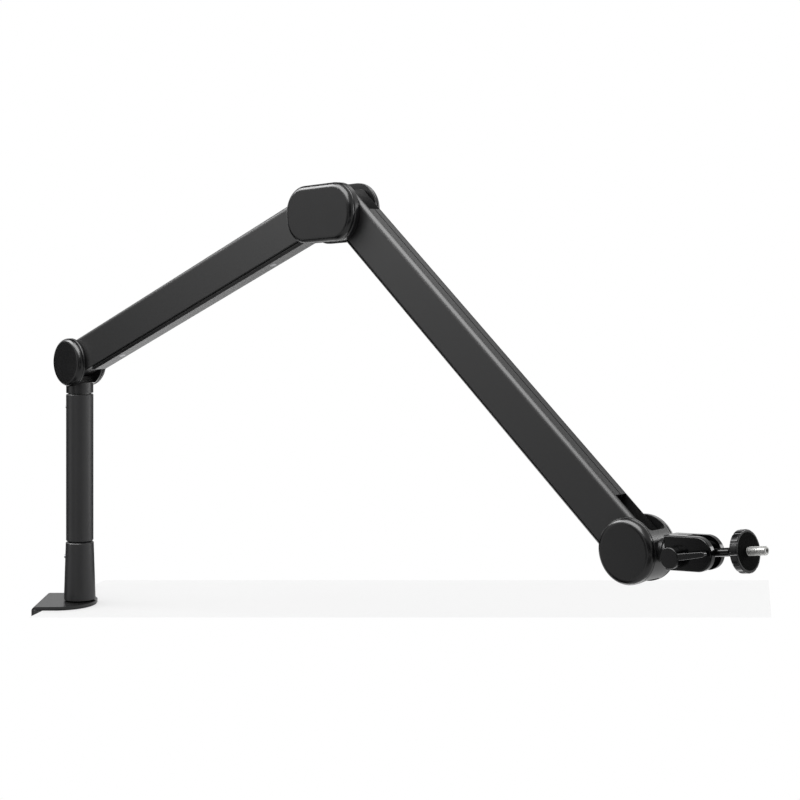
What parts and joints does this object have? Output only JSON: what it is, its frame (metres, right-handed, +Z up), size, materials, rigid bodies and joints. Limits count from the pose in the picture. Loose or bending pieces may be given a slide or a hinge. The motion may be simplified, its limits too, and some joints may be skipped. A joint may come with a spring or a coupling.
{
  "type": "microphone boom arm",
  "caption": "Desk-clamped microphone boom arm: riser post with swivel, hinged channel arms with cable covers, a capped elbow link and a lever-locked ball mount with stud.",
  "frame": {"origin": "on the riser's axis, at the underside of the clamp's top pad, where it rests on the surface that it is clamped to", "axes": "+Z up along the riser; +X in from the edge that the clamp grips; +Y along that edge. At rest the arms run out at 44 degrees from +X towards -Y."},
  "size_m": [0.6146, 0.5896, 0.5256],
  "materials": {
    "powder_coat": "fine satin black powder coat on steel and cast aluminium",
    "arm_coat": "charcoal-black powder coat on extruded aluminium",
    "cap_plastic": "satin black moulded plastic",
    "cover_plastic": "matt dark grey extruded plastic strip",
    "rubber": "matt black rubber",
    "bearing_plastic": "black bearing plastic, slightly waxy",
    "cast_aluminium": "bare die-cast aluminium",
    "gloss_metal": "polished black anodised aluminium",
    "knob_plastic": "glossy black moulded plastic",
    "bright_steel": "bright turned and threaded steel",
    "fastener_steel": "black-zinc plated steel"
  },
  "bodies": {
    "clamp_and_riser": {"clamp_frame": "powder_coat", "clamp_top_pad": "rubber", "clamp_jaw_nut": "fastener_steel", "base_collar": "powder_coat", "collar_screws": "fastener_steel", "collar_grub_screw": "fastener_steel", "riser_plug": "cast_aluminium", "riser_tube": "powder_coat", "tube_grub_screw": "fastener_steel", "swivel_bush": "bearing_plastic"},
    "pressure_foot": {"pressure_disc": "fastener_steel", "pressure_pad": "rubber"},
    "screw_and_knob": {"clamp_screw": "fastener_steel", "screw_retaining_clip": "fastener_steel", "clamp_knob": "knob_plastic"},
    "shoulder": {"swivel_pin": "fastener_steel", "swivel_retaining_washer": "fastener_steel", "swivel_retaining_screw": "fastener_steel", "shoulder_yoke": "powder_coat", "shoulder_cap_near": "cap_plastic", "shoulder_cap_far": "cap_plastic", "shoulder_hinge_pin": "fastener_steel", "shoulder_hinge_nut": "fastener_steel"},
    "lower_arm": {"lower_arm_beam": "arm_coat", "lower_arm_cable_cover": "cover_plastic", "lower_arm_hinge_blocks": "cast_aluminium", "lower_arm_hinge_bushes": "bearing_plastic", "lower_arm_friction_washers": "bearing_plastic", "lower_arm_block_screws": "fastener_steel"},
    "elbow": {"elbow_frame": "powder_coat", "elbow_cap_near": "cap_plastic", "elbow_cap_far": "cap_plastic", "elbow_hinge_pins": "fastener_steel", "elbow_hinge_nuts": "fastener_steel"},
    "upper_arm": {"upper_arm_beam": "arm_coat", "upper_arm_cable_cover": "cover_plastic", "upper_arm_hinge_blocks": "cast_aluminium", "upper_arm_hinge_bushes": "bearing_plastic", "upper_arm_friction_washers": "bearing_plastic", "upper_arm_block_screws": "fastener_steel"},
    "head": {"head_yoke": "powder_coat", "head_cap_near": "cap_plastic", "head_cap_far": "cap_plastic", "head_hinge_pin": "fastener_steel", "head_hinge_nut": "fastener_steel", "socket_bolt": "fastener_steel"},
    "socket": {"socket_neck_washer": "bearing_plastic", "socket_jaws": "gloss_metal", "socket_jaw_nut": "fastener_steel"},
    "lever": {"lock_lever": "knob_plastic", "lock_lever_screw": "fastener_steel"},
    "ball": {"mount_ball": "gloss_metal"},
    "stem_and_stud": {"ball_stem": "gloss_metal", "mic_stud": "bright_steel"},
    "wheel": {"lock_wheel": "knob_plastic", "lock_wheel_facing": "rubber"}
  },
  "joints": [
    {"name": "pad_slide", "type": "slide", "parent": "clamp_and_riser", "child": "pressure_foot", "axis": [0, 0, 1], "range_m": [-0.02, 0.018]},
    {"name": "clamp_screw_turn", "type": "hinge", "parent": "pressure_foot", "child": "screw_and_knob", "pos_m": [-0.006, 0, -0.0648], "axis": [0, 0, 1], "range_deg": [-4802, 4322]},
    {"name": "base_swivel", "type": "hinge", "parent": "clamp_and_riser", "child": "shoulder", "pos_m": [0, 0, 0.2131], "axis": [0, 0, 1], "continuous": true},
    {"name": "shoulder_hinge", "type": "hinge", "parent": "shoulder", "child": "lower_arm", "pos_m": [0, 0, 0.2442], "axis": [-0.6947, -0.7193, 0], "range_deg": [-31, 73]},
    {"name": "elbow_lower_hinge", "type": "hinge", "parent": "lower_arm", "child": "elbow", "pos_m": [0.25307, -0.24438, 0.38491], "axis": [-0.6947, -0.7193, 0], "range_deg": [-62, 60]},
    {"name": "elbow_upper_hinge", "type": "hinge", "parent": "elbow", "child": "upper_arm", "pos_m": [0.28216, -0.27248, 0.38703], "axis": [0.6947, 0.7193, 0], "range_deg": [-75, 42]},
    {"name": "head_hinge", "type": "hinge", "parent": "upper_arm", "child": "head", "pos_m": [0.4949, -0.47792, 0.13711], "axis": [0.6947, 0.7193, 0], "range_deg": [-16, 100]},
    {"name": "socket_roll", "type": "hinge", "parent": "head", "child": "socket", "pos_m": [0.51607, -0.49836, 0.13917], "axis": [0.7176, -0.693, 0.0698], "continuous": true},
    {"name": "lever_turn", "type": "hinge", "parent": "socket", "child": "lever", "pos_m": [0.52265, -0.50472, 0.1373], "axis": [-0.6947, -0.7193, 0], "range_deg": [-100, 100]},
    {"name": "ball_tilt", "type": "hinge", "parent": "socket", "child": "ball", "pos_m": [0.53537, -0.517, 0.14104], "axis": [-0.6947, -0.7193, 0], "range_deg": [-85, 77]},
    {"name": "stem_spin", "type": "hinge", "parent": "ball", "child": "stem_and_stud", "pos_m": [0.53537, -0.517, 0.14104], "axis": [0.7109, -0.6865, 0.153], "continuous": true},
    {"name": "wheel_spin", "type": "hinge", "parent": "stem_and_stud", "child": "wheel", "pos_m": [0.55734, -0.53821, 0.14577], "axis": [0.7109, -0.6865, 0.153], "continuous": true}
  ],
  "couplings": [
    {"joint": "clamp_screw_turn", "follows": "pad_slide", "rad_per_m": 4188.8}
  ]
}
